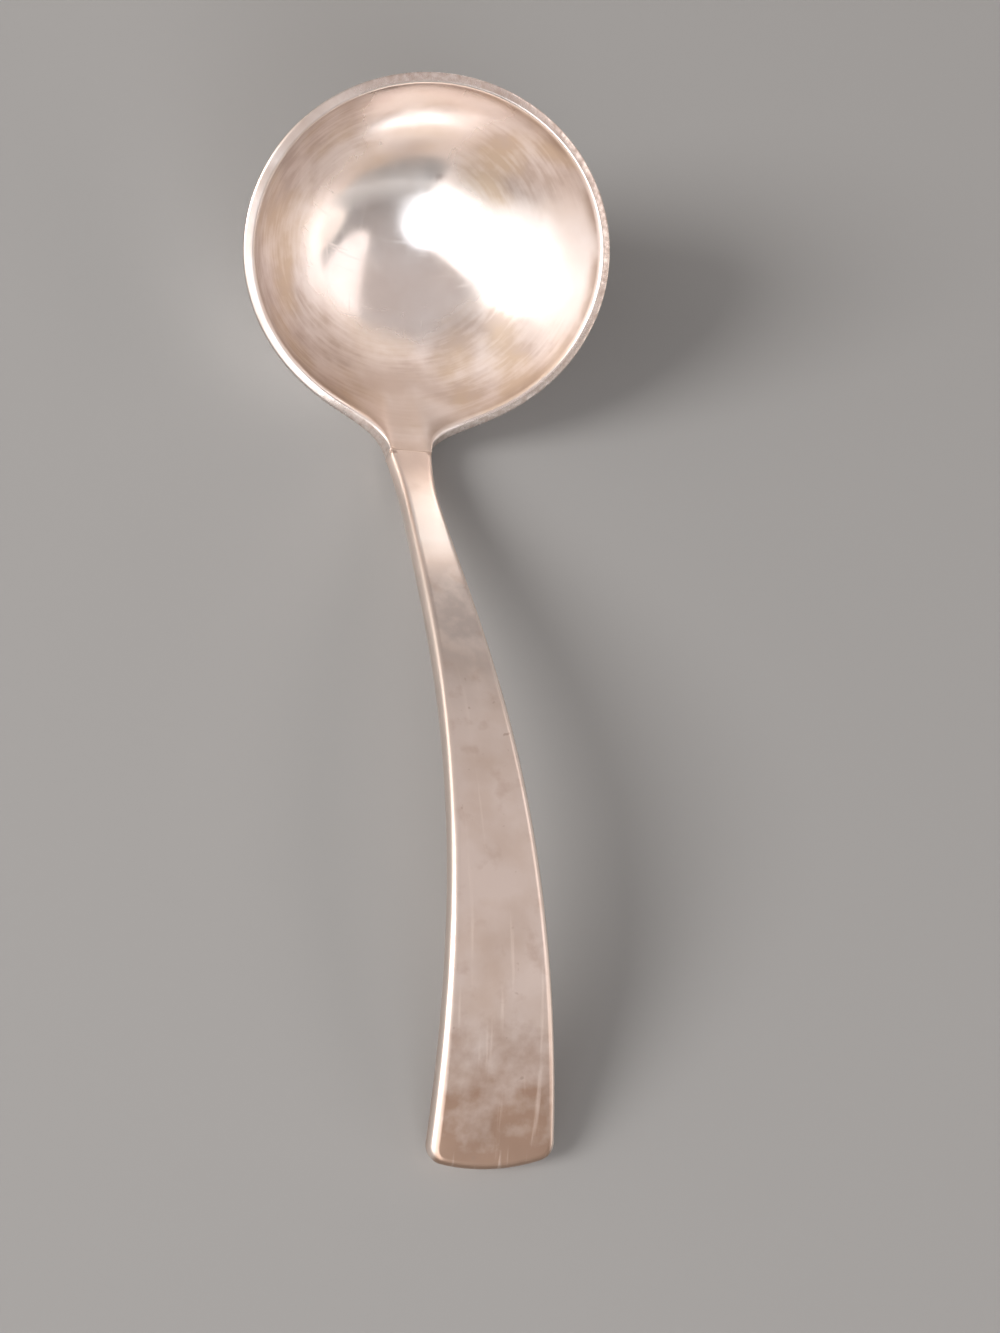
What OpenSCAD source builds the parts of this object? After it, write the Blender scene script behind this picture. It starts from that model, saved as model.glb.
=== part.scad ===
// Cream ladle: a small dish raised from sheet silver, whose neck is soldered
// end to end with a forged, arched handle. It lies on the bowl's underside
// and on the tip of the handle. Sizes in millimetres, angles in degrees.

/* [Bowl] */
// Width over the rim, side to side
bowl_w = 42.5; // [38:0.5:50]
// Length over the rim, front to back
bowl_l = 38.8; // [35:0.2:46]
// Depth of the outside below the rim
bowl_depth = 16.6; // [14:0.2:19]
// Thickness of the sheet
wall = 1.2; // [0.9:0.1:1.6]
// Tilt of the rim towards the handle
lean = 42; // [34:1:46]
// Softened edges of the rim
lip_bevel = 0.2; // [0.1:0.05:0.3]

/* [Neck] */
// Straight run from the bowl to the solder seam
neck_l = 11.3; // [9:0.1:14]
// Fall of the neck towards the bowl
neck_slope = 11; // [7:0.5:15]
// Width at the solder seam
joint_w = 5; // [4.4:0.1:6.4]
// Thickness at the solder seam
neck_t = 2.1; // [1.7:0.1:2.7]
// Sideways reach of the shoulders beside the neck
shoulder_w = 4.9; // [4:0.1:6]
// Angle either side of the neck where the rim runs plain
shoulder_a = 20; // [17:1:26]
// Thickness of the solder film
solder_t = 0.15; // [0.1:0.05:0.3]

/* [Handle] */
// Level distance from the tip to the solder seam
handle_l = 80; // [68:0.2:96]
// Width at the tip
tip_w = 13.2; // [11:0.1:16]
// Narrowest width, near the neck
waist_w = 3.9; // [3.4:0.1:4.8]
// Length over which the waist widens to the seam
waist_l = 8; // [6:0.5:12]
// Fullness of the taper between tip and waist
taper = 1.32; // [1.1:0.02:1.6]
// Thickness at the tip
handle_t = 2; // [1.6:0.1:2.6]
// Bevel along the edges of the top face
top_bevel = 0.5; // [0.3:0.05:0.7]
// Bevel along the edges of the underside
under_bevel = 0.3; // [0.2:0.05:0.5]
// Radius of the tip's bowed end
tip_round = 16; // [12:0.5:24]
// Radius of the tip's corners
tip_corner = 2; // [1.4:0.1:3]

/* [Arch] */
// Rise of the handle at the tip
tip_slope = 35; // [28:1:40]
// Reach of the curve from the tip
tip_pull = 40; // [34:1:46]
// Reach of the curve from the neck
neck_pull = 22.3; // [17:0.1:28]

/* [Hidden] */
// Columns over the neck, each shoulder and the rest of each side
neck_cols = 1;
side_cols = 18;
rest_cols = 26;
// Rings from the middle of the bowl to its rim
rings = 18;
// Stations along the handle and around its tip
stations = 56;
tip_steps = 6;
// Sharpness of the bend from the neck's edge into the shoulder
sweep_k = 30;
// Part of the neck's half width that stays flat
flat_part = 0.9;
// Angle over which the bend of the shoulder sets in
set_in = 3;
// Angle over which the rim's bevel fades in beside the neck
bevel_fade = 6;
// Top bevel left at the seam, as a part of the whole
seam_bevel = 0.5;
// Inset of the solder film from the faces it joins
solder_inset = 0.05;
// First angle of the tip's end arc, which leaves a narrow flat
tip_start = 8;

// Bowl sphere: inside and outside radius, centre above the rim plane
half_l = bowl_l / 2;
widen = bowl_w / bowl_l;
out_r = (half_l * half_l + bowl_depth * bowl_depth) / (2 * bowl_depth);
in_r = out_r - wall;
rise = out_r - bowl_depth;
lip_a = acos(rise / in_r);
neck_a = lean + neck_slope;

// Seam: where the handle ends and where the neck starts, in side view
seam_y = handle_l + solder_t * cos(neck_slope);
seam_z = out_r - in_r * cos(neck_slope) + neck_l * sin(neck_slope);
end_y = handle_l;
end_z = seam_z + solder_t * sin(neck_slope);
ball_y = seam_y + neck_l * cos(neck_slope) + in_r * sin(neck_slope);
ball_z = out_r;
far_a = min(lip_a + lean, 180);
far_y = ball_y + out_r * (far_a > 90 ? 1 : sin(far_a));
mid_y = far_y / 2;

// Half angle of the neck at the seam, seen from the bowl's axis
seam_reach = in_r * sin(neck_a) + neck_l * cos(neck_a);
seam_a = atan(joint_w / 2 / (widen * seam_reach));
spread_a = atan(shoulder_w / seam_reach);

function clamp01(x) = max(0, min(1, x));
function soft(x) = clamp01(x) * clamp01(x) * (3 - 2 * clamp01(x));
function arc(r, a) = r * a * PI / 180;

// How far the wall is opened out into the neck: 1 on the neck, fading to 0 at the far rim
function bent(a) =
    let (x = max(0, abs(a) - flat_part * seam_a))
    (1 + cos(a)) / 2 / (1 + x * x / (spread_a * (x + set_in)));
function leave_a(a) = lip_a - bent(a) * (lip_a - neck_a);

// Straight length beyond the sphere that ends on the seam plane
function to_seam(a, depth) =
    let (b = leave_a(a), r = in_r + depth)
    (neck_l - r * (sin(b) * cos(a) * cos(neck_a) - cos(b) * sin(neck_a)))
    / (cos(b) * cos(a) * cos(neck_a) + sin(b) * sin(neck_a));

// Sweep of the edge from the neck's corner to the plain rim
function sweep(a) =
    let (t = clamp01((abs(a) - seam_a) / (shoulder_a - seam_a)))
    (1 - t) * (1 - t) / (1 + sweep_k * t);

rim_run = arc(in_r, lip_a);
seam_run = arc(in_r, leave_a(seam_a)) + to_seam(seam_a, 0);

// Length along the sheet from the bowl's middle to its edge
function run(a, depth) =
    abs(a) <= seam_a
    ? arc(in_r, leave_a(a)) + to_seam(a, depth)
    : rim_run + sweep(a) * (seam_run - rim_run + to_seam(seam_a, depth) - to_seam(seam_a, 0));

function beyond(a, s) = max(0, s - arc(in_r, leave_a(a)));
function thick(a, s) = wall + (neck_t - wall) * bent(a) * soft(beyond(a, s) / neck_l);

// A point of the sheet: angle round the bowl, length along the sheet, depth below its top
function sheet(a, s, depth) =
    let (
        b = min(leave_a(a), s / in_r * 180 / PI),
        l = beyond(a, s),
        r = (in_r + depth) * sin(b) + l * cos(b),
        h = l * sin(b) - (in_r + depth) * cos(b)
    )
    [
        widen * r * sin(a),
        ball_y - mid_y - r * cos(a) * cos(lean) - h * sin(lean),
        ball_z - r * cos(a) * sin(lean) + h * cos(lean)
    ];

function shoulder_at(i) = seam_a + (shoulder_a - seam_a) * pow(i / side_cols, 1.6);
function rest_at(i) = shoulder_a + (180 - shoulder_a) * i / rest_cols;

angles = concat(
    [for (i = [rest_cols - 1:-1:1]) -rest_at(i)],
    [for (i = [side_cols:-1:1]) -shoulder_at(i)],
    [for (k = [-neck_cols:neck_cols]) seam_a * k / neck_cols],
    [for (i = [1:side_cols]) shoulder_at(i)],
    [for (i = [1:rest_cols]) rest_at(i)]
);

// One slice through the sheet: out along the inside, over the edge, back along the outside
function slice(a) =
    let (
        fade = lip_bevel * clamp01((abs(a) - seam_a) / bevel_fade),
        t = thick(a, run(a, 0)),
        top = run(a, 0),
        low = run(a, t)
    )
    concat(
        [for (j = [1:rings]) sheet(a, (top - fade) * j / rings, 0)],
        [sheet(a, run(a, lip_bevel), lip_bevel)],
        [sheet(a, run(a, t - lip_bevel), t - lip_bevel)],
        [for (j = [rings:-1:1]) sheet(a, (low - fade) * j / rings, thick(a, (low - fade) * j / rings))]
    );

module bowl() {
    cols = len(angles);
    rows = 2 * rings + 2;
    skin = [for (a = angles) each slice(a)];
    pole = cols * rows;
    points = concat(skin, [sheet(0, 0, 0), sheet(0, 0, wall)]);
    faces = concat(
        [for (i = [0:cols - 1]) for (j = [0:rows - 2]) let (n = (i + 1) % cols)
            [i * rows + j, n * rows + j, n * rows + j + 1]],
        [for (i = [0:cols - 1]) for (j = [0:rows - 2]) let (n = (i + 1) % cols)
            [i * rows + j, n * rows + j + 1, i * rows + j + 1]],
        [for (i = [0:cols - 1]) let (n = (i + 1) % cols)
            [pole, n * rows, i * rows]],
        [for (i = [0:cols - 1]) let (n = (i + 1) % cols)
            [pole + 1, i * rows + rows - 1, n * rows + rows - 1]]
    );
    color("Silver")
        polyhedron(points = points, faces = faces, convexity = 8);
}

// Side view of the handle's top face, from the tip (0) to the seam (1)
p0 = [0, handle_t * cos(tip_slope)];
p1 = p0 + tip_pull * [cos(tip_slope), sin(tip_slope)];
p3 = [end_y, end_z];
p2 = p3 + neck_pull * [-cos(neck_slope), sin(neck_slope)];

function curve(t) =
    pow(1 - t, 3) * p0 + 3 * pow(1 - t, 2) * t * p1 + 3 * (1 - t) * t * t * p2 + pow(t, 3) * p3;
function heading(t) =
    let (d = pow(1 - t, 2) * (p1 - p0) + 2 * (1 - t) * t * (p2 - p1) + t * t * (p3 - p2))
    d / norm(d);

// Plan outline of the tip: an arc across the end, then an arc round each corner
turn_a = asin((tip_w / 2 - tip_corner) / (tip_round - tip_corner));
tip_end = tip_round - (tip_round - tip_corner) * cos(turn_a);
tip_skip = tip_round * (1 - cos(tip_start));
function tip_at(a) =
    a < turn_a
    ? [tip_round * (1 - cos(a)) - tip_skip, tip_round * sin(a)]
    : [tip_end - tip_corner * cos(a) - tip_skip, tip_w / 2 - tip_corner + tip_corner * sin(a)];

// Width left by the taper and the waist at a level distance from the tip
function taper_w(y) =
    waist_w
    + (tip_w - waist_w) * pow(clamp01(1 - y / handle_l), taper)
    + (joint_w - waist_w) * pow(clamp01(1 - (handle_l - y) / waist_l), 2);
function bevel_at(y) =
    top_bevel * (1 - (1 - seam_bevel) * pow(clamp01(1 - (handle_l - y) / waist_l), 2));

// Outline of one section: width, top bevel and thickness
function outline(w, e, t) = [
    [-w / 2 + e, 0],
    [-w / 2, -e],
    [-w / 2, under_bevel - t],
    [-w / 2 + under_bevel, -t],
    [w / 2 - under_bevel, -t],
    [w / 2, under_bevel - t],
    [w / 2, -e],
    [w / 2 - e, 0]
];

// Stations: place along the curve and part of the full width there
reach = 3 * tip_pull;
first = concat(
    [for (i = [0:tip_steps]) tip_at(tip_start + (turn_a - tip_start) * i / tip_steps)],
    [for (i = [1:tip_steps]) tip_at(turn_a + (90 - turn_a) * i / tip_steps)]
);
start_t = (tip_end - tip_skip) / reach;
places = concat(
    [for (p = first) [p[0] / reach, p[1] / (tip_w / 2)]],
    [for (i = [1:stations]) [start_t + (1 - start_t) * i / stations, 1]]
);

function section(p) =
    let (
        c = curve(p[0]),
        d = heading(p[0]),
        w = p[1] * taper_w(c[0]),
        o = outline(w, bevel_at(c[0]), handle_t + (neck_t - handle_t) * p[0])
    )
    [for (q = o) [q[0], c[0] - q[1] * d[1] - mid_y, c[1] + q[1] * d[0]]];

module handle() {
    rows = 8;
    count = len(places);
    points = [for (p = places) each section(p)];
    faces = concat(
        [for (i = [0:count - 2]) for (j = [0:rows - 1]) let (k = (j + 1) % rows)
            [i * rows + j, i * rows + k, (i + 1) * rows + k]],
        [for (i = [0:count - 2]) for (j = [0:rows - 1]) let (k = (j + 1) % rows)
            [i * rows + j, (i + 1) * rows + k, (i + 1) * rows + j]],
        [[for (j = [rows - 1:-1:0]) j]],
        [[for (j = [0:rows - 1]) (count - 1) * rows + j]]
    );
    color("Gainsboro")
        polyhedron(points = points, faces = faces, convexity = 4);
}

module neck_solder() {
    in_w = joint_w - 2 * solder_inset;
    in_t = neck_t - 2 * solder_inset;
    color("DarkGray")
        translate([0, end_y - mid_y, end_z])
            rotate([90 - neck_slope, 0, 0])
                mirror([0, 0, 1])
                    linear_extrude(height = solder_t)
                        translate([0, -solder_inset])
                            polygon(outline(in_w, seam_bevel * top_bevel, in_t));
}

bowl();
handle();
neck_solder();
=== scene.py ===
# %% [markdown]
# # A small silver cream ladle
# This lesson dresses the solid model of a hand-made cream ladle. The ladle has three pieces: a dish raised from sheet
# silver with a short neck, a forged handle, and the solder seam where the two meet. Each piece is rebuilt with a
# finer, softer mesh than the solid model has, because polished metal shows every flat facet in its reflections.

# %% Load the solid model
import math

import bmesh
import bpy
from mathutils import Matrix, Vector


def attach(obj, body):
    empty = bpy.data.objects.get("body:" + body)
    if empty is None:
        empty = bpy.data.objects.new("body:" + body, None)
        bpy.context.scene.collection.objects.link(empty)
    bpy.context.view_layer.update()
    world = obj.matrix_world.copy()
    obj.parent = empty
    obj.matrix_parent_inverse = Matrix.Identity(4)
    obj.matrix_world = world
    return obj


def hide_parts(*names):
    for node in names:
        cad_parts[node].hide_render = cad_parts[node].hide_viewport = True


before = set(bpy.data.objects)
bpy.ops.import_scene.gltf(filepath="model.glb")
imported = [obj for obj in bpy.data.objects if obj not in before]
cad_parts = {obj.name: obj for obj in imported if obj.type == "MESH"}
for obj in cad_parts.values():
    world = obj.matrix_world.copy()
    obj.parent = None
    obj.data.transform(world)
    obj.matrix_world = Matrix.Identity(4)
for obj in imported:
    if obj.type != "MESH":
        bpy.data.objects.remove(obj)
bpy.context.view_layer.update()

# %% [markdown]
# ## The sizes
# The dress has to sit exactly where the solids sit, so it is drawn from the same sizes. They are written in
# millimetres and degrees, as on a drawing, and every point is turned into metres when it is placed. The sizes that say
# where the bowl and the seam lie come first; the others follow where they are needed.

# %% Sizes of the ladle
MM = 0.001
bowl_w = 42.5  # across the rim
bowl_l = 38.8  # along the rim
bowl_depth = 16.6
wall = 1.2  # thickness of the sheet
lean = 42.0  # tilt of the rim
neck_l = 11.3  # straight run of the neck
neck_slope = 11.0
neck_t = 2.1  # thickness at the seam
joint_w = 5.0  # width at the seam
solder_t = 0.15
handle_l = 80.0  # level distance from the tip to the seam


def sin(a):
    return math.sin(math.radians(a))


def cos(a):
    return math.cos(math.radians(a))


out_r = (bowl_l * bowl_l / 4 + bowl_depth * bowl_depth) / (2 * bowl_depth)
in_r = out_r - wall
widen = bowl_w / bowl_l
lip_a = math.degrees(math.acos((out_r - bowl_depth) / in_r))
neck_a = lean + neck_slope
seam_y = handle_l + solder_t * cos(neck_slope)
seam_z = out_r - in_r * cos(neck_slope) + neck_l * sin(neck_slope)
ball_y = seam_y + neck_l * cos(neck_slope) + in_r * sin(neck_slope)
mid_y = (ball_y + out_r) / 2
print("bowl radius inside", round(in_r, 2), "mm, seam height", round(seam_z, 2), "mm")

# %% [markdown]
# ## The camera
# The photo looks down on the ladle from the left of the handle. The camera's place, its turn and its focal length
# were worked out from the outlines in the photo. A camera looks along its own minus Z axis, so the matrix holds the
# picture's right, its up, and the way back towards the camera.

# %% Camera
right = Vector((0.93279, -0.12291, 0.33883))
down = Vector((0.04616, -0.89158, -0.45051))
ahead = Vector((0.35746, 0.43587, -0.82598))
standpoint = Vector((-73.88, -102.4, 190.84)) * MM
focal_pixels, photo_height, sensor_height = 2115.7, 1333, 36.0
lens_data = bpy.data.cameras.new("photo_camera")
lens_data.sensor_fit = "VERTICAL"
lens_data.sensor_height = sensor_height
lens_data.lens = focal_pixels / photo_height * sensor_height
lens_data.clip_start = 0.01
camera = bpy.data.objects.new("photo_camera", lens_data)
bpy.context.collection.objects.link(camera)
camera_turn = Matrix((right, -down, -ahead)).transposed()
camera.matrix_world = Matrix.Translation(standpoint) @ camera_turn.to_4x4()
bpy.context.scene.camera = camera
print("camera lens", round(lens_data.lens, 2), "mm")

# %% [markdown]
# ## The dish, as a plain bowl
# A silversmith raises the dish from a round blank. Here it starts as a section through a plain bowl: up the inside,
# over a softly rounded lip, and back down the outside. Spinning that section once round makes the whole dish with
# its wall thickness. The dish could also be a single surface that is thickened afterwards, but then the lip would be
# square, and the lip is the brightest line of this ladle.

# %% Section of the plain bowl
lip_round = 0.32
side_wall = wall - 0.03  # a hair thinner than the solid, so the dress stays inside its box
section_steps, lip_steps = 48, 5
rim_run = math.radians(lip_a) * in_r
straight_run = rim_run - lip_round


def plain_point(run, depth):
    """A point of the plain bowl's section: run along the sheet and depth below its inside face."""
    a = run / in_r
    return Vector(((in_r + depth) * math.sin(a), 0, -(in_r + depth) * math.cos(a)))


runs = [straight_run * i / section_steps for i in range(section_steps + 1)]
inside = [plain_point(run, 0) for run in runs]
outside = [plain_point(run, side_wall) for run in reversed(runs)]
lip_angles = [90 / lip_steps * i for i in range(1, lip_steps + 1)]
quarter = [(lip_round * sin(a), lip_round * (1 - cos(a))) for a in lip_angles]
lip = [plain_point(straight_run + out, below) for out, below in quarter]
lip += [plain_point(straight_run + out, side_wall - below) for out, below in reversed(quarter)]
section = inside + lip + outside
print("points in the bowl's section", len(section))

# %% [markdown]
# `bmesh.ops.spin` turns the section round the bowl's axis. The points on the axis come out once for every step, so
# doubles are merged afterwards.

# %% Spin the plain bowl
HAIR = 1e-4  # points that are closer than this, in millimetres, count as one
columns = 288
bowl_mesh = bmesh.new()
chain = [bowl_mesh.verts.new(p) for p in section]
edges = [bowl_mesh.edges.new(pair) for pair in zip(chain, chain[1:])]
bmesh.ops.spin(
    bowl_mesh, geom=chain + edges, cent=(0, 0, 0), axis=(0, 0, 1), dvec=(0, 0, 0),
    angle=math.tau, steps=columns, use_merge=True, use_duplicate=False,
)
bmesh.ops.remove_doubles(bowl_mesh, verts=bowl_mesh.verts[:], dist=HAIR)
print("plain bowl", len(bowl_mesh.verts), "points", len(bowl_mesh.faces), "faces")

# %% [markdown]
# ## The neck and the shoulders
# On the real piece the wall is hammered down and outwards at one side until it runs out flat as the neck. Here the
# sheet is described by an angle round the bowl, with the neck at 0, and by the run along the sheet from the middle of
# the floor. Where the sheet is opened out, it leaves the sphere early and runs on straight. The first functions say
# how far it is opened out at an angle, and where its edge lies. The sizes of the shoulders are a little softer than
# the solid's, so that the corners between neck and rim are rounder.

# %% Edge of the opened sheet
shoulder_w = 4.2  # reach of the shoulders' bend
shoulder_a = 24.0  # angle at which the shoulders end
sweep_k = 12.0  # tightness of the corner between neck and rim
flat_part = 0.7  # share of the neck's width that stays flat
set_in = 4.0  # softness with which the bend sets in
seam_reach = in_r * sin(neck_a) + neck_l * cos(neck_a)
seam_a = math.degrees(math.atan(joint_w / 2 / (widen * seam_reach)))
spread_a = math.degrees(math.atan(shoulder_w / seam_reach))


def clamp01(x):
    return max(0.0, min(1.0, x))


def bent(a):
    """How far the sheet is opened out at an angle: 1 on the neck, 0 at the back of the bowl."""
    x = max(0, abs(a) - flat_part * seam_a)
    return (1 + cos(a)) / 2 / (1 + x ** 3 / (spread_a * (x + set_in) ** 2))


def leave_a(a):
    """The slope at which the sheet leaves the sphere."""
    return lip_a - bent(a) * (lip_a - neck_a)


def to_seam(a):
    """The straight run from the sphere to the plane of the seam."""
    b = leave_a(a)
    bend = sin(b) * cos(a) * cos(neck_a) - cos(b) * sin(neck_a)
    return (neck_l - in_r * bend) / (cos(b) * cos(a) * cos(neck_a) + sin(b) * sin(neck_a))


seam_run = math.radians(leave_a(seam_a)) * in_r + to_seam(seam_a)
past_seam, past_fade = 0.9, 0.5


def edge_run(a):
    """Length along the sheet to its edge; on the neck it runs a little past the seam, to be cut off square."""
    if abs(a) < seam_a:
        overrun = past_seam * clamp01((seam_a - abs(a)) / past_fade)
        return math.radians(leave_a(a)) * in_r + to_seam(a) + overrun
    t = min((abs(a) - seam_a) / (shoulder_a - seam_a), 1)
    return rim_run + (seam_run - rim_run) * (1 - t) ** 2 / (1 + sweep_k * t)


print("neck half angle", round(seam_a, 2), "degrees, sheet to the seam", round(seam_run, 2), "mm")

# %% [markdown]
# The next two functions are a pair. One reads where on the sheet a point of the plain bowl lies, and the other says
# where that place is on the finished bowl. The angle is crowded towards the neck, because the shoulders need many
# more columns than the back of the bowl, and the sheet thickens as it runs into the neck.

# %% Places on the sheet
crowding = 0.2


def on_sheet(co):
    """Angle, part of the way to the sheet's edge, and depth for a point of the plain bowl."""
    turned = math.degrees(math.atan2(co.y, co.x)) / 180
    angle = 180 * turned * (crowding + (1 - crowding) * turned * turned)
    part = math.acos(max(-1, min(1, -co.z / co.length))) * in_r / rim_run
    return angle, part, co.length - in_r


def soft_step(x):
    """Softly from 0 to 1."""
    x = clamp01(x)
    return x * x * (3 - 2 * x)


def sheet_point(a, run, depth):
    """Where a point of the sheet lies on the finished bowl, in metres."""
    b = min(leave_a(a), math.degrees(run / in_r))
    straight = max(0, run - math.radians(leave_a(a)) * in_r)
    into_neck = bent(a) * soft_step(straight / neck_l)
    deep = depth * (1 + (neck_t / wall - 1) * into_neck)
    r = (in_r + deep) * sin(b) + straight * cos(b)
    h = straight * sin(b) - (in_r + deep) * cos(b)
    across = r - deep * sin(b) * into_neck
    y = ball_y - mid_y - r * cos(a) * cos(lean) - h * sin(lean)
    z = out_r - r * cos(a) * sin(lean) + h * cos(lean)
    return Vector((widen * across * sin(a), y, z)) * MM


one_column = Vector((cos(360 / columns), sin(360 / columns), 0))
print("column at the neck", round(on_sheet(one_column)[0], 2), "degrees, middle of the floor", sheet_point(0, 0, 0))

# %% [markdown]
# ## Marks for the finish
# A finish that follows the work needs to know where it is, so each point gets some marks before it is bent. A mark
# could be painted by hand, but a rule for each place gives the same marks every time. The places round the bowl are
# angles, and the two functions make soft edges for them.

# %% Places of the marks
left_side = (-90, 40, 35)  # middle, half width and fade, in degrees round the bowl
right_side = (93, 15, 22)
beside_right = (49, 12, 20)  # counted from the right, both ways
front = (172, 6, 20)
neck_side = (0, 5, 22)


def rise(value, start, length):
    """0 up to the start, then softly up to 1 over the length."""
    return soft_step((value - start) / length)


def within(value, middle, half, fade):
    """1 where a value lies within half of the middle, then softly down to 0 over the fade."""
    return 1 - rise(abs(value - middle), half, fade)


print("share of the left side", {a: round(within(a, *left_side), 2) for a in range(-150, 0, 30)})

# %% [markdown]
# The lip is filed, and hands rub it bright, less on the left. A dark line hides just inside it. Tarnish keeps to the
# walls, in strokes that run round the bowl as the polishing cloth did. It is scoured off on the right, darker to
# either side of that and on the left, and worn thin at the front. The neck was never polished.

# %% Marks on the plain bowl
skin_depth, file_fade = 0.1, 0.25  # points nearer the inside face than the first lie on it
lip_band = 0.5
line_start, line_end = (0.3, 0.3), (0.7, 2.2)  # start and length of the dark line's fades, from the lip
wall_start = (0.34, 0.18)  # the same for the tarnish, as a share of the run to the rim
neck_start = (13, 6)  # and for the unpolished neck, along the sheet
left_loss, front_loss = 0.9, 0.95  # share of the rubbing and of the tarnish that is missing there
beside_extra, left_extra = 0.4, 0.2  # tarnish that is added there
stroke_lines, stroke_length = 45, 3
layers = bowl_mesh.verts.layers
rubbed, filed, hidden = (layers.float.new(name) for name in ("rubbed", "filed", "hidden"))
unpolished, tarnished, scoured = (layers.float.new(name) for name in ("unpolished", "tarnished", "scoured"))
strokes = layers.float_vector.new("strokes")
for v in bowl_mesh.verts:
    angle, part, depth = on_sheet(v.co)
    run = part * edge_run(angle)
    from_lip = (1 - part) * rim_run
    on_lip = 1 - rise(from_lip, 0, lip_band)
    dull_side = within(angle, *left_side)
    v[rubbed] = on_lip * (1 - left_loss * dull_side)
    v[filed] = v[rubbed] * rise(depth, skin_depth, file_fade)
    v[unpolished] = max(within(angle, *neck_side) * rise(run, *neck_start), dull_side * on_lip)
    v[strokes] = (stroke_lines * run / rim_run, stroke_length * cos(angle), stroke_length * sin(angle))
    if depth < skin_depth:
        v[hidden] = rise(from_lip, *line_start) * (1 - rise(from_lip, *line_end))
        on_wall = rise(run / rim_run, *wall_start)
        clean_side = within(angle, *right_side)
        thin_front = front_loss * within(abs(angle), *front)
        darker = beside_extra * within(abs(angle - 90), *beside_right) + left_extra * dull_side
        v[tarnished] = on_wall * (1 - max(clean_side, thin_front)) * (1 + darker)
        v[scoured] = on_wall * clean_side
print("points with tarnish", sum(1 for v in bowl_mesh.verts if v[tarnished] > 0))

# %% [markdown]
# Now every point goes to its place on the opened sheet. The neck then runs past the seam. `bisect_plane` cuts it off
# square, and the cut is filled with one flat face, which is the face that the solder wets. The edges of that face are
# marked sharp, so the smooth shading stops there.

# %% Bend the bowl and cut the neck at the seam
for v in bowl_mesh.verts:
    angle, part, depth = on_sheet(v.co)
    v.co = sheet_point(angle, part * edge_run(angle), depth)
into_bowl = Vector((0, cos(neck_slope), -sin(neck_slope)))
seam_point = Vector((0, (seam_y - mid_y) * MM, seam_z * MM))
bmesh.ops.recalc_face_normals(bowl_mesh, faces=bowl_mesh.faces[:])
cut = bmesh.ops.bisect_plane(
    bowl_mesh, geom=bowl_mesh.verts[:] + bowl_mesh.edges[:] + bowl_mesh.faces[:], dist=HAIR * MM,
    plane_co=seam_point, plane_no=into_bowl, clear_inner=True, clear_outer=False,
)
seam_edges = [e for e in cut["geom_cut"] if isinstance(e, bmesh.types.BMEdge)]
bmesh.ops.contextual_create(bowl_mesh, geom=seam_edges)
bmesh.ops.recalc_face_normals(bowl_mesh, faces=bowl_mesh.faces[:])
for face in bowl_mesh.faces:
    face.smooth = len(face.verts) < 6  # only the new end face has so many corners
for e in seam_edges:
    e.smooth = False
open_edges = sum(1 for e in bowl_mesh.edges if e.is_boundary)
print("edges round the cut", len(seam_edges), "open edges", open_edges)

# %% [markdown]
# A finished mesh becomes an object at the origin, with its place in its mesh. It rides on the ladle's one body and
# hides the solid that it stands for.


# %% Make the bowl an object
def make_piece(name, mesh, node):
    """Turns a bmesh into an object at the origin that rides on the body and stands for its solid."""
    data = bpy.data.meshes.new(name)
    mesh.to_mesh(data)
    mesh.free()
    piece = bpy.data.objects.new(name, data)
    bpy.context.collection.objects.link(piece)
    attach(piece, "root")
    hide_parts(node)
    print(name, len(data.polygons), "faces")
    return piece


bowl = make_piece("raised_bowl", bowl_mesh, "bowl")

# %% [markdown]
# ## The handle, as a flat blank
# The handle is forged from a bar: flat on top, softly rounded along its edges, wide at the tip and narrow at the
# waist. A curve with a taper could make it, but the tip has a bowed end with round corners, which a taper cannot
# give. So it is made as the smith would make it: the outline is cut flat, given its thickness, its edges are rounded,
# and it is bent into its arch last. In the flat, X is across and Y runs from the tip to the seam.

# %% Arch of the handle
handle_t = 2.0
tip_w = 13.2
waist_w = 3.9
waist_l = 8.0  # run over which the waist widens to the seam
taper = 1.32
tip_slope = 35.0
tip_pull = 40.0  # pull of the arch's curve at the tip
neck_pull = 22.3  # and at the neck
arch_tip = Vector((0, handle_t * cos(tip_slope)))
tip_lead = arch_tip + tip_pull * Vector((cos(tip_slope), sin(tip_slope)))
arch_end = Vector((handle_l, seam_z + solder_t * sin(neck_slope)))
end_lead = arch_end + neck_pull * Vector((-cos(neck_slope), sin(neck_slope)))
flat_l = 3 * tip_pull  # length of the blank, so that the tip keeps its length when it is bent


def arch(t):
    """The middle of the handle's top, as distance and height, for a share t of the blank."""
    s = 1 - t
    return s ** 3 * arch_tip + 3 * s ** 2 * t * tip_lead + 3 * s * t * t * end_lead + t ** 3 * arch_end


def heading(t):
    """The direction of the arch there."""
    s = 1 - t
    way = s ** 2 * (tip_lead - arch_tip) + 2 * s * t * (end_lead - tip_lead) + t * t * (arch_end - end_lead)
    return way.normalized()


def near_seam(t):
    """0 along the handle, rising to 1 where it meets the seam."""
    return clamp01(1 - (handle_l - arch(t).x) / waist_l) ** 2


def half_width(t):
    """Half the handle's width there."""
    wide = (tip_w - waist_w) * clamp01(1 - arch(t).x / handle_l) ** taper
    return (waist_w + wide + (joint_w - waist_w) * near_seam(t)) / 2


print("top of the arch", round(max(arch(i / 100).y for i in range(101)), 2), "mm")

# %% [markdown]
# The outline is one half, mirrored. Its end is a shallow bow that turns into a round corner on each side. Along the
# sides it has a point at every station, where the blank is cut across later.

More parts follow.
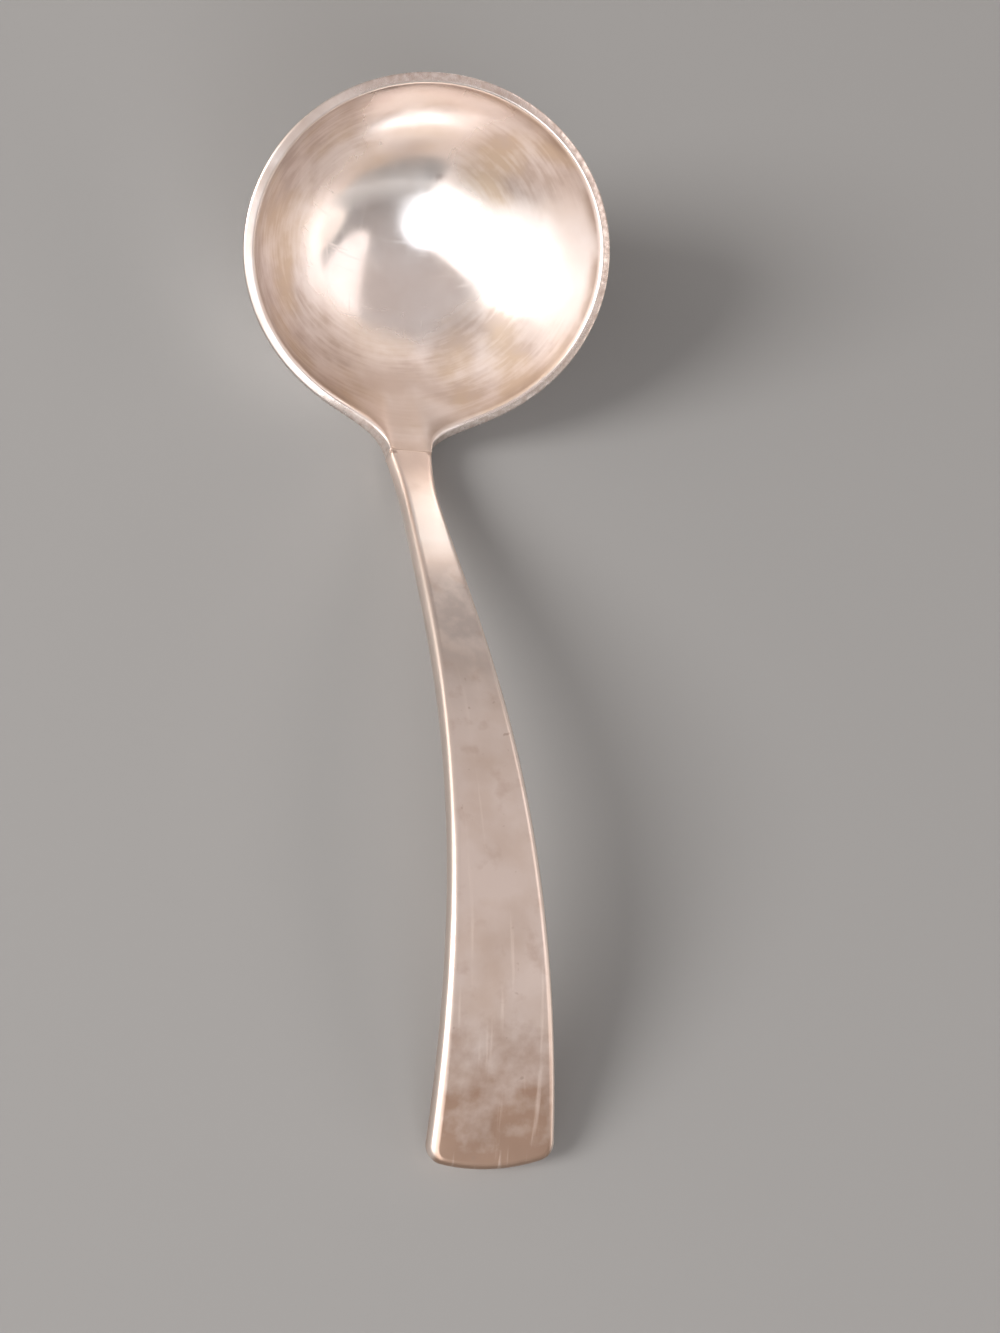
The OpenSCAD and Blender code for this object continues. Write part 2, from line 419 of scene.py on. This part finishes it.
# %% Outline of the blank
tip_round = 16.0  # radius of the bow
tip_corner = 2.0  # radius of the corners
tip_start = 8.0  # degrees of the bow that are flattened
bow_steps, corner_steps, station_count = 8, 10, 100
turn_a = math.degrees(math.asin((tip_w / 2 - tip_corner) / (tip_round - tip_corner)))
bow = tip_round * (1 - cos(turn_a)) - tip_round * (1 - cos(tip_start))
side = []
for i in range(1, bow_steps + 1):
    a = turn_a * i / bow_steps
    side.append((tip_round * sin(a), bow * (1 - cos(a)) / (1 - cos(turn_a))))
for i in range(1, corner_steps + 1):
    a = turn_a + (90 - turn_a) * i / corner_steps
    x = tip_w / 2 - tip_corner + tip_corner * sin(a)
    side.append((x, bow + tip_corner * (cos(turn_a) - cos(a))))
tip_l = side[-1][1]
side = [(x / (tip_w / 2) * half_width(y / flat_l), y) for x, y in side]
stations = [tip_l + (flat_l - tip_l) * i / station_count for i in range(1, station_count + 1)]
side += [(half_width(y / flat_l), y) for y in stations]
outline = [(-x, y) for x, y in reversed(side)] + [(0, 0)] + side
print("outline points", len(outline), "tip length", round(tip_l, 2), "mm")

# %% [markdown]
# `extrude_face_region` gives the blank its thickness. `bevel` rounds the edges of the top and, less, those of the
# underside; the edges at the seam stay square for the solder. A narrow `inset_region` inside each rounding keeps the
# big faces truly flat when they are shaded smooth.

# %% Blank with rounded edges
top_round, under_round = 0.85, 0.5
inset_w = 0.05
blank = bmesh.new()
points = [blank.verts.new((x, y, 0)) for x, y in outline]
loop = [blank.edges.new(pair) for pair in zip(points, points[1:] + points[:1])]
top_face = bmesh.ops.contextual_create(blank, geom=loop)["faces"]
made = bmesh.ops.extrude_face_region(blank, geom=top_face)["geom"]
lowered = [g for g in made if isinstance(g, bmesh.types.BMVert)]
bmesh.ops.translate(blank, verts=lowered, vec=(0, 0, -handle_t))
bmesh.ops.recalc_face_normals(blank, faces=blank.faces[:])


def round_edges(mesh, height, radius, segments):
    """Rounds the outline's edges at a height, but not the edge at the seam."""
    ring = []
    for e in mesh.edges:
        level = all(abs(v.co.z - height) < HAIR for v in e.verts)
        at_seam = all(v.co.y > flat_l - HAIR for v in e.verts)
        if level and not at_seam and len(e.link_faces) == 2:
            ring.append(e)
    bmesh.ops.bevel(
        mesh, geom=ring, offset=radius, offset_type="OFFSET", segments=segments, profile=0.5,
        affect="EDGES", clamp_overlap=False, material=-1,
    )


round_edges(blank, 0, top_round, segments=6)
round_edges(blank, -handle_t, under_round, segments=4)
for height in (0, -handle_t):
    flat = [f for f in blank.faces if all(abs(v.co.z - height) < HAIR for v in f.verts)]
    bmesh.ops.inset_region(blank, faces=flat, thickness=inset_w, use_even_offset=True)
print("blank", len(blank.faces), "faces")

# %% [markdown]
# To bend smoothly the big faces need cuts across them, one at each station. Rounding an outline that tapers shifts
# its points a hair along the handle, so they are first set back on the stations; then each cut runs from point to
# point. `dict.fromkeys` keeps each edge and each point once, and in order.

# %% Cuts across the blank
tip_zone = tip_l + 0.4  # up to here the outline still turns round the tip
for v in blank.verts:
    if v.co.y > tip_zone:
        v.co.y = min(stations, key=lambda y: abs(y - v.co.y))
for y in stations[:-1]:
    big = [f for f in blank.faces if len(f.verts) > 4 and abs(f.normal.z) > 0.9]
    big_edges = list(dict.fromkeys(e for f in big for e in f.edges))
    big_points = list(dict.fromkeys(v for f in big for v in f.verts))
    bmesh.ops.bisect_plane(
        blank, geom=big_edges + big_points + big, dist=HAIR, plane_co=(0, y, 0), plane_no=(0, 1, 0),
    )
print("cut blank", len(blank.faces), "faces")

# %% [markdown]
# Bending moves each point to its place on the arch, at its own height above or below the top face. The rounding is
# drawn in near the seam, where the real handle was filed flush with the neck. The points on the edges get a mark,
# because fingers rub the edges bright.

# %% Bend the blank into the arch
filed_flush = 0.5  # share of the rounding that is gone at the seam
round_zone = top_round + 0.04  # the rounding and its inset lie this close to the edge
rub_start, rub_fade = 0.3, 0.5  # how far from the edge the rubbing starts to fade, and over how much
side_depth, under_rub = 1.2, 0.4  # points below the first belong to the underside, which is rubbed less
worn_edge = blank.verts.layers.float.new("rubbed")
for v in blank.verts:
    x, y, h = v.co
    t = y / flat_l
    gap = half_width(t) - abs(x)
    v[worn_edge] = 1 - rise(gap, rub_start, rub_fade) if h > -side_depth else under_rub
    if h > -top_round - HAIR and y > tip_zone:
        keep = 1 - filed_flush * near_seam(t)
        h *= keep
        if gap < round_zone:
            x = math.copysign(half_width(t) - gap * keep, x)
    h *= (handle_t + (neck_t - handle_t) * t) / handle_t
    c, d = arch(t), heading(t)
    v.co = Vector((x, c.x - h * d.y - mid_y, c.y + h * d.x)) * MM
bmesh.ops.recalc_face_normals(blank, faces=blank.faces[:])
seam_face = min(blank.faces, key=lambda f: (f.calc_center_median() - seam_point).length)
for face in blank.faces:
    face.smooth = face is not seam_face
for e in seam_face.edges:
    e.smooth = False
print("bent handle, open edges", sum(1 for e in blank.edges if e.is_boundary))
handle = make_piece("forged_handle", blank, "handle")

# %% [markdown]
# ## The solder seam
# The seam is a film of solder between the two flat faces. A filed seam can hardly be felt, so the film is drawn only a
# hair smaller than the neck, and it shows as a faint sunken line. A short block with rounded corners is enough for it.

# %% Solder film
sunk = 0.02
film_round = 0.25
film = bmesh.new()
bmesh.ops.create_cube(film, size=1)
bmesh.ops.scale(film, verts=film.verts[:], vec=(joint_w - sunk, solder_t, neck_t - sunk))
corners = [e for e in film.edges if abs(e.verts[0].co.y - e.verts[1].co.y) > HAIR]
bmesh.ops.bevel(
    film, geom=corners, offset=film_round, segments=3, profile=0.5, affect="EDGES", material=-1,
)
bmesh.ops.scale(film, verts=film.verts[:], vec=(MM, MM, MM))
film_turn = Matrix.Rotation(math.radians(-neck_slope), 3, "X")
bmesh.ops.rotate(film, verts=film.verts[:], cent=(0, 0, 0), matrix=film_turn)
upward = Vector((0, sin(neck_slope), cos(neck_slope)))
film_middle = seam_point - into_bowl * solder_t / 2 * MM - upward * neck_t / 2 * MM
bmesh.ops.translate(film, verts=film.verts[:], vec=film_middle)
seam = make_piece("solder_seam", film, "neck_solder")

# %% [markdown]
# ## Silver of the bowl
# Old silver is a mirror with a warm, slightly uneven skin. A metallic Principled shader gives the mirror. Its colour
# could come from a painted picture, but noise in Object coordinates needs no picture and stays put on the metal. The
# scale of a noise is about how many of its blotches lie along a metre, so 110 gives clouds of nine millimetres.


# %% A metal and its noise
def new_metal(name):
    """A metallic material, with its node tree, its shader and the object's coordinates."""
    mat = bpy.data.materials.new(name)
    mat.use_nodes = True
    tree = mat.node_tree
    shader = tree.nodes["Principled BSDF"]
    shader.inputs["Metallic"].default_value = 1.0
    coords = tree.nodes.new("ShaderNodeTexCoord")
    return mat, tree, shader, coords.outputs["Object"]


def noise(tree, coords, scale, detail, stretch=(1, 1, 1), turn=(0, 0, 0)):
    """Noise in the given coordinates; stretch below 1 draws it out along that axis."""
    placed = tree.nodes.new("ShaderNodeMapping")
    placed.inputs["Scale"].default_value = stretch
    placed.inputs["Rotation"].default_value = turn
    tree.links.new(coords, placed.inputs["Vector"])
    node = tree.nodes.new("ShaderNodeTexNoise")
    node.inputs["Scale"].default_value = scale
    node.inputs["Detail"].default_value = detail
    tree.links.new(placed.outputs["Vector"], node.inputs["Vector"])
    return node.outputs["Fac"]


silver, tree, shader, where = new_metal("polished_silver")
print("material", silver.name)

# %% [markdown]
# A noise is a grey cloud between 0 and 1. A Map Range node spreads out a band of it, so that it becomes a mask with
# soft edges, and a Mix node lays one tone over another by that mask. Two tones of polished silver come first.


# %% Polished silver
def spread(tree, source, band, to=(0, 1)):
    """Maps a band of a value, given by its two ends, to two other ends."""
    node = tree.nodes.new("ShaderNodeMapRange")
    for socket, value in zip(("From Min", "From Max", "To Min", "To Max"), (*band, *to)):
        node.inputs[socket].default_value = value
    tree.links.new(source, node.inputs["Value"])
    return node.outputs["Result"]


def mottle(tree, coords, scale, detail, band, to=(0, 1)):
    """Noise of which a band is spread out."""
    return spread(tree, noise(tree, coords, scale, detail), band, to)


def blend(tree, factor, first, second):
    """Mixes two colours; each may be a plain colour or another node's output."""
    node = tree.nodes.new("ShaderNodeMix")
    node.data_type = "RGBA"
    tree.links.new(factor, node.inputs["Factor"])
    for socket, value in ((node.inputs[6], first), (node.inputs[7], second)):
        if isinstance(value, tuple):
            socket.default_value = (*value, 1)
        else:
            tree.links.new(value, socket)
    return node.outputs[2]


bright_silver, cloudy_silver = (0.92, 0.875, 0.86), (0.86, 0.785, 0.745)
clouds = mottle(tree, where, scale=110.0, detail=5.0, band=(0.38, 0.66))
skin = blend(tree, clouds, bright_silver, cloudy_silver)
print("nodes with two tones", len(tree.nodes))

# %% [markdown]
# The walls of the bowl keep a brown and golden tarnish. It lies where the points carry its mark, in patches, and a
# noise along the "strokes" attribute breaks it into the fine rings that a polishing cloth leaves.


# %% Tarnish on the walls
def mark(tree, name, kind="Fac"):
    """A mark that was left on the points."""
    node = tree.nodes.new("ShaderNodeAttribute")
    node.attribute_name = name
    return node.outputs[kind]


def math_node(tree, operation, first, second):
    """One sum of two values; each may be a number or another node's output."""
    node = tree.nodes.new("ShaderNodeMath")
    node.operation = operation
    node.use_clamp = operation in ("SUBTRACT", "MAXIMUM")  # these make masks, which stay between 0 and 1
    for socket, value in ((node.inputs[0], first), (node.inputs[1], second)):
        if isinstance(value, (int, float)):
            socket.default_value = value
        else:
            tree.links.new(value, socket)
    return node.outputs[0]


def times(tree, first, second):
    return math_node(tree, "MULTIPLY", first, second)


brown_tarnish, golden_tarnish = (0.60, 0.51, 0.46), (0.66, 0.545, 0.435)
round_wall = mark(tree, "strokes", "Vector")
patch = mottle(tree, where, scale=230.0, detail=6.0, band=(0.35, 0.65), to=(0.45, 1.15))
stroke = mottle(tree, round_wall, scale=1.0, detail=4.0, band=(0.35, 0.65), to=(0.6, 1))
old_skin = times(tree, times(tree, mark(tree, "tarnished"), patch), stroke)
gold_patch = mottle(tree, where, scale=120.0, detail=3.0, band=(0.42, 0.58))
tint = blend(tree, gold_patch, brown_tarnish, golden_tarnish)
skin = blend(tree, old_skin, skin, tint)
print("nodes with tarnish", len(tree.nodes))

# %% [markdown]
# The neck was left unpolished, dark grime stays just inside the lip, and the lip itself is rubbed bright over the
# grain of the file.

# %% Neck and lip
raw_silver, grime_tone = (0.68, 0.58, 0.52), (0.42, 0.31, 0.24)
rubbed_silver, filed_silver = (0.93, 0.84, 0.79), (0.64, 0.53, 0.475)
raw_patch = mottle(tree, where, scale=300.0, detail=5.0, band=(0.3, 0.65), to=(0.4, 1))
skin = blend(tree, times(tree, mark(tree, "unpolished"), raw_patch), skin, raw_silver)
grime_patch = mottle(tree, where, scale=170.0, detail=3.0, band=(0.35, 0.6), to=(0.15, 0.8))
skin = blend(tree, times(tree, mark(tree, "hidden"), grime_patch), skin, grime_tone)
skin = blend(tree, mark(tree, "rubbed"), skin, rubbed_silver)
file_grain = mottle(tree, where, scale=1500.0, detail=4.0, band=(0.35, 0.65))
grain = times(tree, file_grain, mark(tree, "filed"))
skin = blend(tree, grain, skin, filed_silver)
tree.links.new(skin, shader.inputs["Base Color"])
print("nodes with the lip", len(tree.nodes))

# %% [markdown]
# Roughness says how sharp the mirror is. The floor of the bowl is sharp, with hair scratches from use, which are noise
# drawn out in two directions. The neck, the walls and the scoured side are duller. Their share follows the smooth
# marks and not the patches: the denoiser treats metal differently above a roughness of about 0.27, and a patchy
# roughness that crosses it leaves hairlines. A gentle bump keeps the reflections from looking machined.

# %% Gloss of the bowl
line_band = (0.64, 0.76)
hairs = noise(tree, where, scale=2600.0, detail=2.0, stretch=(1, 0.07, 0.07), turn=(0.3, 0.2, 0.5))
crossing = noise(tree, where, scale=2300.0, detail=2.0, stretch=(0.07, 1, 0.07), turn=(0.1, 0.4, -0.7))
scratch = math_node(tree, "MAXIMUM", spread(tree, hairs, line_band), spread(tree, crossing, line_band))
scratch = times(tree, scratch, spread(tree, mark(tree, "tarnished"), (0, 1), to=(1, 0.25)))


def plus(tree, start, *shares):
    """Adds shares of further values to a value; each is a value and how much of it counts."""
    for value, amount in shares:
        start = math_node(tree, "ADD", start, times(tree, value, amount))
    return start


def bump(tree, shader, height, strength, distance):
    """Lets a height tilt the shader's normals."""
    node = tree.nodes.new("ShaderNodeBump")
    node.inputs["Strength"].default_value = strength
    node.inputs["Distance"].default_value = distance
    tree.links.new(height, node.inputs["Height"])
    tree.links.new(node.outputs["Normal"], shader.inputs["Normal"])


mirror = mottle(tree, where, scale=240.0, detail=5.0, band=(0.3, 0.7), to=(0.11, 0.25))
dullness = plus(
    tree, mirror, (mark(tree, "unpolished"), 0.17), (grain, 0.2), (mark(tree, "tarnished"), 0.17),
    (mark(tree, "scoured"), 0.28), (scratch, 0.10),
)
tree.links.new(dullness, shader.inputs["Roughness"])
dents = noise(tree, where, scale=130.0, detail=2.0)
bump(tree, shader, plus(tree, dents, (scratch, 0.005), (grain, -0.02)), strength=0.10, distance=0.0004)
bowl.data.materials.append(silver)
print("nodes of the bowl's silver", len(tree.nodes))

# %% [markdown]
# ## Silver of the handle
# The handle is more satin than the bowl, because fingers dull it. Its finish changes along its length, so the masks
# read the Y of the Object coordinates, in metres. The waist is worn grey, and the tip has gone brown in blotches: the
# brown spreads from the noise as a ramp towards the tip is added to it.

# %% Tones along the handle
satin_tone, cloudy_satin = (0.85, 0.75, 0.69), (0.76, 0.64, 0.56)
worn_grey, tip_brown = (0.54, 0.48, 0.45), (0.47, 0.31, 0.225)
satin, tree, shader, where = new_metal("satin_silver")
axes = tree.nodes.new("ShaderNodeSeparateXYZ")
tree.links.new(where, axes.inputs["Vector"])
along = axes.outputs["Y"]


def stretch_of(tree, start, end):
    """1 on a stretch of the handle; it comes up over the start and goes down over the end."""
    return math_node(tree, "SUBTRACT", spread(tree, along, start), spread(tree, along, end))


waist_start, waist_end, tip_ramp = (-0.014, -0.004), (0.0025, 0.0075), (-0.043, -0.060)
clouds = mottle(tree, where, scale=170.0, detail=6.0, band=(0.4, 0.65))
skin = blend(tree, clouds, satin_tone, cloudy_satin)
patches = mottle(tree, where, scale=330.0, detail=5.0, band=(0.4, 0.58), to=(0.55, 1))
worn = times(tree, stretch_of(tree, waist_start, waist_end), patches)
skin = blend(tree, worn, skin, worn_grey)
near_tip = spread(tree, along, tip_ramp, to=(0, 0.9))
blotch = math_node(tree, "ADD", near_tip, noise(tree, where, scale=430.0, detail=8.0))
skin = blend(tree, spread(tree, blotch, (0.56, 1.08), to=(0, 0.92)), skin, tip_brown)
print("material", satin.name, "with", len(tree.nodes), "nodes")

# %% [markdown]
# Next to the neck the handle is painted brighter. This is partly polish and partly a painted highlight that whitens
# the reflection there. At the seam it is painted darker. This is partly metal left raw after soldering and partly
# painted shade that fades that highlight. Small dark spots and long scratches lie on the flat top only, and the
# rounded edges are worn bright.

# %% Ends and edges of the handle
# The first tone is polish and a painted highlight for the band by the neck. The second is raw metal and painted shade
# for the band at the seam.
polish_and_highlight_silver, raw_and_shade_satin = (0.96, 0.92, 0.89), (0.66, 0.56, 0.505)
spot_tone, scratch_tone, edge_tone = (0.46, 0.34, 0.27), (0.88, 0.78, 0.71), (0.96, 0.83, 0.75)
highlight_band_start, highlight_band_end, raw_shade_start = (0.0060, 0.0095), (0.0140, 0.0190), (0.0160, 0.0205)
# The bright band by the neck is partly a painted highlight on the neck's reflection.
skin = blend(tree, stretch_of(tree, highlight_band_start, highlight_band_end), skin, polish_and_highlight_silver)
raw_patch = mottle(tree, where, scale=300.0, detail=5.0, band=(0.3, 0.65), to=(0.6, 1))
# The dark band at the seam is partly painted shade that fades the neck's highlight.
raw_and_shade_end = times(tree, spread(tree, along, raw_shade_start), raw_patch)
skin = blend(tree, raw_and_shade_end, skin, raw_and_shade_satin)
on_flat = spread(tree, mark(tree, "rubbed"), (0, 0.5), to=(1, 0))
spots = mottle(tree, where, scale=700.0, detail=2.0, band=(0.70, 0.75), to=(0, 0.5))
skin = blend(tree, times(tree, on_flat, spots), skin, spot_tone)
long_lines = noise(tree, where, scale=1500.0, detail=2.0, stretch=(1, 0.03, 0.12))
scratch = times(tree, on_flat, spread(tree, long_lines, (0.62, 0.74)))
skin = blend(tree, times(tree, scratch, 0.3), skin, scratch_tone)
skin = blend(tree, mark(tree, "rubbed"), skin, edge_tone)
tree.links.new(skin, shader.inputs["Base Color"])
print("nodes with the edges", len(tree.nodes))

# %% [markdown]
# The same masks make the waist, the raw end and the scratches duller. The roughness starts at 0.278, so that all of
# the handle stays above the denoiser's limit.

# %% Gloss of the handle
scuff_end = (0.0085, 0.0130)
scuffed = times(tree, stretch_of(tree, waist_start, scuff_end), patches)
sheen = mottle(tree, where, scale=230.0, detail=5.0, band=(0.3, 0.7), to=(0.278, 0.34))
dullness = plus(tree, sheen, (scuffed, 0.08), (raw_and_shade_end, 0.17), (scratch, 0.1))
tree.links.new(dullness, shader.inputs["Roughness"])
dents = noise(tree, where, scale=260.0, detail=3.0)
bump(tree, shader, plus(tree, dents, (scratch, 0.25)), strength=0.12, distance=0.00015)
handle.data.materials.append(satin)
print("nodes of the handle's silver", len(tree.nodes))

# %% [markdown]
# ## Solder
# Hard solder is close to silver in tone and a little duller, so the seam is faint. One noise drives both its colour
# and its roughness.

# %% Solder
dark_solder, pale_solder = (0.66, 0.56, 0.50), (0.78, 0.68, 0.61)
cloud_band = (0.3, 0.7)
solder, tree, shader, where = new_metal("dull_solder")
cloud = noise(tree, where, scale=900.0, detail=3.0)
solder_skin = blend(tree, spread(tree, cloud, cloud_band), dark_solder, pale_solder)
tree.links.new(solder_skin, shader.inputs["Base Color"])
tree.links.new(spread(tree, cloud, cloud_band, to=(0.40, 0.50)), shader.inputs["Roughness"])
seam.data.materials.append(solder)
print("material", solder.name)

# %% [markdown]
# ## Floor
# The floor is a plain pale sheet. It is no part of the ladle.

# %% Floor
floor_half = 4.0
floor_mesh = bmesh.new()
bmesh.ops.create_grid(floor_mesh, x_segments=1, y_segments=1, size=floor_half)
floor_data = bpy.data.meshes.new("pale_floor")
floor_mesh.to_mesh(floor_data)
floor_mesh.free()
floor = bpy.data.objects.new("pale_floor", floor_data)
bpy.context.collection.objects.link(floor)
paper = bpy.data.materials.new("pale_paper")
paper.use_nodes = True
tree = paper.node_tree
paper_shader = tree.nodes["Principled BSDF"]
paper_shader.inputs["Base Color"].default_value = (0.48, 0.475, 0.47, 1)
paper_shader.inputs["Roughness"].default_value = 0.9
floor_data.materials.append(paper)
print("floor", tuple(floor.dimensions))

# %% [markdown]
# The panels light only the part round the ladle, so further out the floor turns into the pale tone of the room, for
# the camera and for mirrors alone. The light on the ladle does not change, and low views get a plain background
# without a dark band.

# %% Far floor
room_tone = (0.74, 0.71, 0.69, 1)
fade_band = (0.18, 0.9)  # in metres from the ladle


def seen_rays(tree):
    """1 for the rays of the camera, of mirrors and of glass, 0 for those that carry light."""
    rays = tree.nodes.new("ShaderNodeLightPath").outputs
    seen = math_node(tree, "MAXIMUM", rays["Is Camera Ray"], rays["Is Glossy Ray"])
    return math_node(tree, "MAXIMUM", seen, rays["Is Transmission Ray"])


reach = tree.nodes.new("ShaderNodeVectorMath")
reach.operation = "LENGTH"
tree.links.new(tree.nodes.new("ShaderNodeTexCoord").outputs["Object"], reach.inputs[0])
far = times(tree, spread(tree, reach.outputs["Value"], fade_band), seen_rays(tree))
far_tone = tree.nodes.new("ShaderNodeEmission")
far_tone.inputs["Color"].default_value = room_tone
mixed = tree.nodes.new("ShaderNodeMixShader")
tree.links.new(far, mixed.inputs["Fac"])
tree.links.new(paper_shader.outputs["BSDF"], mixed.inputs[1])
tree.links.new(far_tone.outputs["Emission"], mixed.inputs[2])
tree.links.new(mixed.outputs["Shader"], tree.nodes["Material Output"].inputs["Surface"])
print("nodes of the floor", len(tree.nodes))

# %% [markdown]
# ## Light
# Polished metal shows what stands round it, so the light is a few soft panels, about two metres away. The round key at
# the left throws the shadows to the right. The large window panel beside it makes the big white patch in the bowl, and
# the wide one lights the left edge of the handle. A long warm panel high at the right gives the bright crescent on the
# left wall, a low one warms the right edge, a cool one in front whitens the far wall, and a small one behind brightens
# the neck.

# %% Lights
aim = Vector((0, 0.02, 0.01))


def panel(name, toward, distance, width, height, power, colour, shape="ELLIPSE"):
    """A soft panel that stands in a direction from the ladle and faces it; sizes in metres, power in watts."""
    data = bpy.data.lights.new(name, "AREA")
    data.shape = shape
    data.size, data.size_y = width, height
    data.energy = power
    data.color = colour
    lamp = bpy.data.objects.new(name, data)
    bpy.context.collection.objects.link(lamp)
    way = Vector(toward).normalized()
    lamp.location = aim + way * distance
    lamp.rotation_euler = way.to_track_quat("Z", "Y").to_matrix().to_euler()
    return lamp


lamps = [
    panel("key_left", (-0.86, -0.19, 0.47), 2.0, 0.8, 0.8, 27.0, (1.0, 0.97, 0.94)),
    panel("window_left", (-0.66, -0.60, 0.455), 1.8, 4.2, 1.8, 27.0, (1.0, 0.975, 0.96), "RECTANGLE"),
    panel("wide_left", (-0.89, 0.30, 0.32), 1.8, 2.6, 0.9, 6.4, (1.0, 0.90, 0.82)),
    panel("cool_front", (0.0, -0.87, 0.47), 1.7, 0.8, 1.16, 3.4, (0.85, 0.93, 1.0)),
    panel("warm_right", (0.734, 0.0, 0.679), 1.8, 3.0, 0.80, 5.0, (1.0, 0.89, 0.84)),
    panel("low_right", (0.91, -0.33, 0.25), 1.8, 1.2, 0.6, 1.4, (1.0, 0.86, 0.75)),
    panel("small_back", (0.335, 0.853, 0.395), 2.0, 0.5, 0.2, 0.6, (1.0, 0.97, 0.94)),
]
print("panels", [lamp.name for lamp in lamps])

# %% [markdown]
# The world is a soft room: pale at the horizon, so that low views have a pale background and the metal shows it too,
# and a warmer tone overhead, which is what the flat top of the handle reflects. The rays that light the floor get less
# of it, so that the panels draw the shadows.

# %% World
fill_strength = 0.1
world = bpy.data.worlds.new("soft_room")
bpy.context.scene.world = world
world.use_nodes = True
tree = world.node_tree
sky = tree.nodes.new("ShaderNodeTexCoord")
sky_axes = tree.nodes.new("ShaderNodeSeparateXYZ")
tree.links.new(sky.outputs["Generated"], sky_axes.inputs["Vector"])
ramp = tree.nodes.new("ShaderNodeValToRGB")
tones = ramp.color_ramp.elements
tones[0].position, tones[0].color = 0.03, room_tone
tones[1].position, tones[1].color = 0.9, (0.60, 0.535, 0.515, 1)
tones.new(0.28).color = (0.38, 0.345, 0.33, 1)
tones.new(0.6).color = (0.48, 0.43, 0.41, 1)
tree.links.new(sky_axes.outputs["Z"], ramp.inputs["Fac"])
backdrop = tree.nodes["Background"]
tree.links.new(ramp.outputs["Color"], backdrop.inputs["Color"])
strength = spread(tree, seen_rays(tree), (0, 1), to=(fill_strength, 1.0))
tree.links.new(strength, backdrop.inputs["Strength"])
bpy.context.scene.view_settings.view_transform = "Standard"
print("world", world.name, "with", len(tones), "tones")
